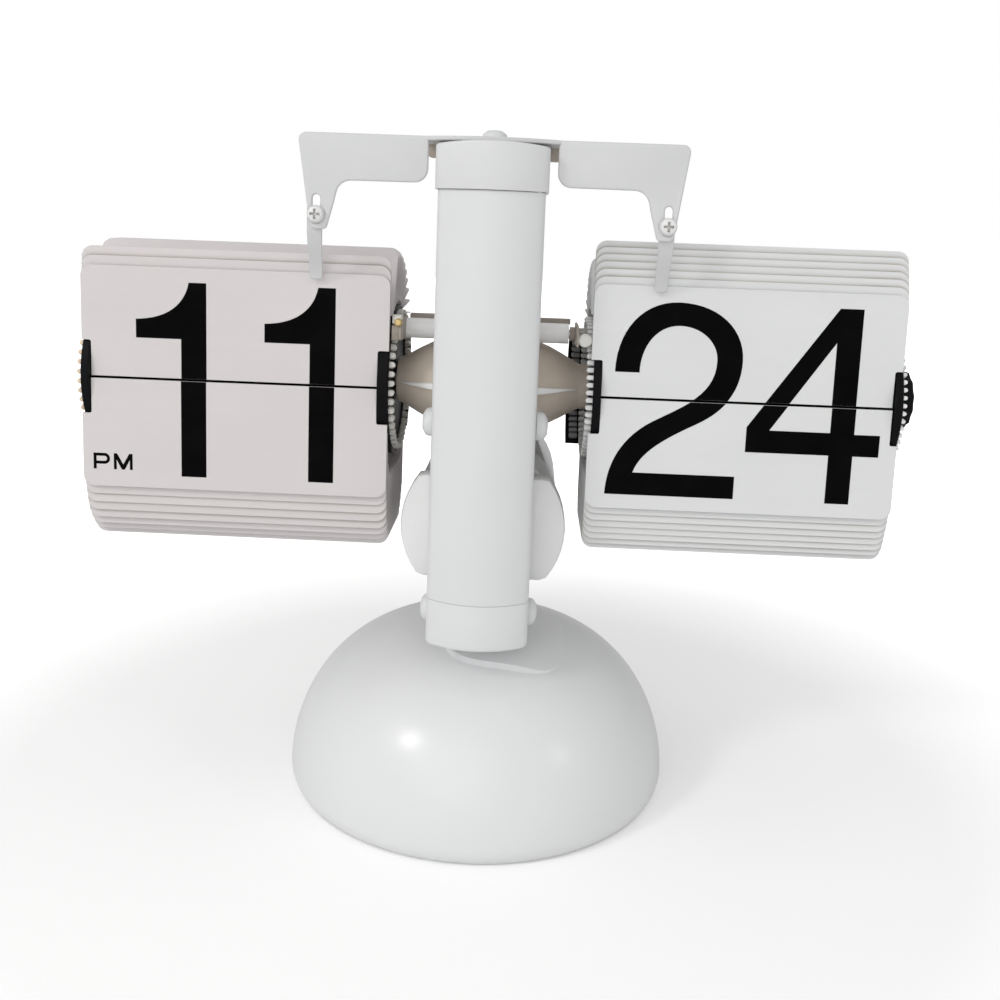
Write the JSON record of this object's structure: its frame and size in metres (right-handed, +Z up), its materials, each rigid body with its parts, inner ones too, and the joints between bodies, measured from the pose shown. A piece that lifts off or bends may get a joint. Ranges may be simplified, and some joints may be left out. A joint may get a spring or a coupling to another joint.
{
  "type": "flip number clock",
  "caption": "Desk clock with two drums of flip number leaves held by arms on either side of an upright that stands on a domed foot.",
  "frame": {"origin": "centre of the round rest face under the domed foot", "axes": "+Z up, numbered leaves face -Y, +X is to the right of a viewer facing the numbers, along the drum axle"},
  "size_m": [0.2056, 0.0994, 0.1647],
  "materials": {
    "arm_cone_left": "warm grey moulded plastic",
    "arm_cone_right": "warm grey moulded plastic",
    "base_collar": "satin white paint",
    "base_dome": "satin white paint",
    "base_pad": "dark foam rubber",
    "base_plate": "bright steel",
    "base_weight": "dark cast iron",
    "battery_barrel": "satin white plastic",
    "battery_contact": "brass",
    "battery_lid": "satin white plastic",
    "battery_spring": "bright steel",
    "cap_screw": "white painted screw",
    "carry_pinion_left": "cream acetal",
    "carry_pinion_right": "cream acetal",
    "carry_shaft": "bright steel",
    "carry_sleeve": "satin white plastic",
    "column_chassis": "satin white plastic",
    "column_cover": "satin white plastic",
    "column_foot_cap": "satin white plastic",
    "column_top_cap": "satin white plastic",
    "cover_screw_left": "white painted screw",
    "cover_screw_right": "white painted screw",
    "crossbeam": "satin white paint",
    "drive_gear": "cream acetal",
    "drum_front": "satin white plastic",
    "finger_screw_left": "white painted screw",
    "finger_screw_right": "white painted screw",
    "foot_bolt_left": "bright steel",
    "foot_bolt_right": "bright steel",
    "foot_screw_left": "white painted screw",
    "foot_screw_right": "white painted screw",
    "hour_axle": "bright steel",
    "hour_flange_inner": "black moulded plastic",
    "hour_flange_outer": "black moulded plastic",
    "hour_hub": "black moulded plastic",
    "hour_leaf_lower_front": "thin white vinyl",
    "hour_leaf_upper_front": "thin white vinyl",
    "hour_leaves_draped": "thin white vinyl",
    "hour_leaves_hanging": "thin white vinyl",
    "hour_leaves_upright": "thin white vinyl",
    "hour_pivot_ring": "cream acetal",
    "minute_axle": "bright steel",
    "minute_flange_inner": "black moulded plastic",
    "minute_flange_outer": "black moulded plastic",
    "minute_hub": "black moulded plastic",
    "minute_leaf_lower_front": "thin white vinyl",
    "minute_leaf_upper_front": "thin white vinyl",
    "minute_leaves_draped": "thin white vinyl",
    "minute_leaves_hanging": "thin white vinyl",
    "minute_leaves_upright": "thin white vinyl",
    "minute_pivot_ring": "cream acetal",
    "motor": "bright steel",
    "motor_pinion": "brass",
    "movement_case": "warm grey moulded plastic",
    "movement_cover": "warm grey moulded plastic",
    "reduction_gear": "cream acetal",
    "setting_knob": "black moulded plastic",
    "stay_bar": "dull steel",
    "stop_finger_left": "satin white paint",
    "stop_finger_right": "satin white paint"
  },
  "bodies": {
    "frame": {"arm_cone_left": "arm_cone_left", "arm_cone_right": "arm_cone_right", "base_collar": "base_collar", "base_dome": "base_dome", "base_pad": "base_pad", "base_plate": "base_plate", "base_weight": "base_weight", "battery_barrel": "battery_barrel", "battery_contact": "battery_contact", "cap_screw": "cap_screw", "carry_sleeve": "carry_sleeve", "column_chassis": "column_chassis", "column_cover": "column_cover", "column_foot_cap": "column_foot_cap", "column_top_cap": "column_top_cap", "cover_screw_left": "cover_screw_left", "cover_screw_right": "cover_screw_right", "crossbeam": "crossbeam", "drum_front": "drum_front", "foot_bolt_left": "foot_bolt_left", "foot_bolt_right": "foot_bolt_right", "foot_screw_left": "foot_screw_left", "foot_screw_right": "foot_screw_right", "hour_leaf_upper_front": "hour_leaf_upper_front", "hour_leaves_draped": "hour_leaves_draped", "hour_leaves_hanging": "hour_leaves_hanging", "hour_leaves_upright": "hour_leaves_upright", "minute_leaf_upper_front": "minute_leaf_upper_front", "minute_leaves_draped": "minute_leaves_draped", "minute_leaves_hanging": "minute_leaves_hanging", "minute_leaves_upright": "minute_leaves_upright", "motor": "motor", "movement_case": "movement_case", "movement_cover": "movement_cover", "stay_bar": "stay_bar"},
    "hour_wheel": {"hour_axle": "hour_axle", "hour_flange_inner": "hour_flange_inner", "hour_flange_outer": "hour_flange_outer", "hour_hub": "hour_hub", "hour_pivot_ring": "hour_pivot_ring"},
    "minute_wheel": {"minute_axle": "minute_axle", "minute_flange_inner": "minute_flange_inner", "minute_flange_outer": "minute_flange_outer", "minute_hub": "minute_hub", "minute_pivot_ring": "minute_pivot_ring", "drive_gear": "drive_gear", "setting_knob": "setting_knob"},
    "carry_train": {"carry_shaft": "carry_shaft", "carry_pinion_left": "carry_pinion_left", "carry_pinion_right": "carry_pinion_right"},
    "reduction_wheel": {"reduction_gear": "reduction_gear"},
    "motor_rotor": {"motor_pinion": "motor_pinion"},
    "hour_leaf": {"hour_leaf_lower_front": "hour_leaf_lower_front"},
    "minute_leaf": {"minute_leaf_lower_front": "minute_leaf_lower_front"},
    "finger_left": {"stop_finger_left": "stop_finger_left", "finger_screw_left": "finger_screw_left"},
    "finger_right": {"stop_finger_right": "stop_finger_right", "finger_screw_right": "finger_screw_right"},
    "lid": {"battery_lid": "battery_lid", "battery_spring": "battery_spring"}
  },
  "joints": [
    {"name": "minute_spin", "type": "hinge", "parent": "frame", "child": "minute_wheel", "pos_m": [0, 0, 0.104], "axis": [1, 0, 0], "continuous": true},
    {"name": "hour_spin", "type": "hinge", "parent": "frame", "child": "hour_wheel", "pos_m": [0, 0, 0.104], "axis": [1, 0, 0], "continuous": true},
    {"name": "carry_spin", "type": "hinge", "parent": "frame", "child": "carry_train", "pos_m": [0, -0.005, 0.1177], "axis": [1, 0, 0], "continuous": true},
    {"name": "reduction_spin", "type": "hinge", "parent": "frame", "child": "reduction_wheel", "pos_m": [0, -0.00709, 0.10126], "axis": [1, 0, 0], "continuous": true},
    {"name": "motor_spin", "type": "hinge", "parent": "frame", "child": "motor_rotor", "pos_m": [0, -0.00461, 0.09408], "axis": [1, 0, 0], "continuous": true},
    {"name": "hour_leaf_flip", "type": "hinge", "parent": "frame", "child": "hour_leaf", "pos_m": [0, -0.0176, 0.104], "axis": [-1, 0, 0], "range_deg": [0, 145]},
    {"name": "minute_leaf_flip", "type": "hinge", "parent": "frame", "child": "minute_leaf", "pos_m": [0, -0.0176, 0.104], "axis": [-1, 0, 0], "range_deg": [0, 145]},
    {"name": "finger_left_slide", "type": "slide", "parent": "frame", "child": "finger_left", "axis": [0, 0, 1], "range_m": [-0.0012, 0.0034]},
    {"name": "finger_right_slide", "type": "slide", "parent": "frame", "child": "finger_right", "axis": [0, 0, 1], "range_m": [-0.0012, 0.0034]},
    {"name": "lid_turn", "type": "hinge", "parent": "frame", "child": "lid", "pos_m": [0, 0.048, 0.0698], "axis": [0, 1, 0], "range_deg": [0, 30]}
  ],
  "couplings": [
    {"joint": "hour_spin", "follows": "minute_spin", "ratio": 0.041667},
    {"joint": "carry_spin", "follows": "minute_spin", "ratio": 7.5},
    {"joint": "reduction_spin", "follows": "minute_spin", "ratio": -3.75},
    {"joint": "motor_spin", "follows": "minute_spin", "ratio": 14.062}
  ]
}
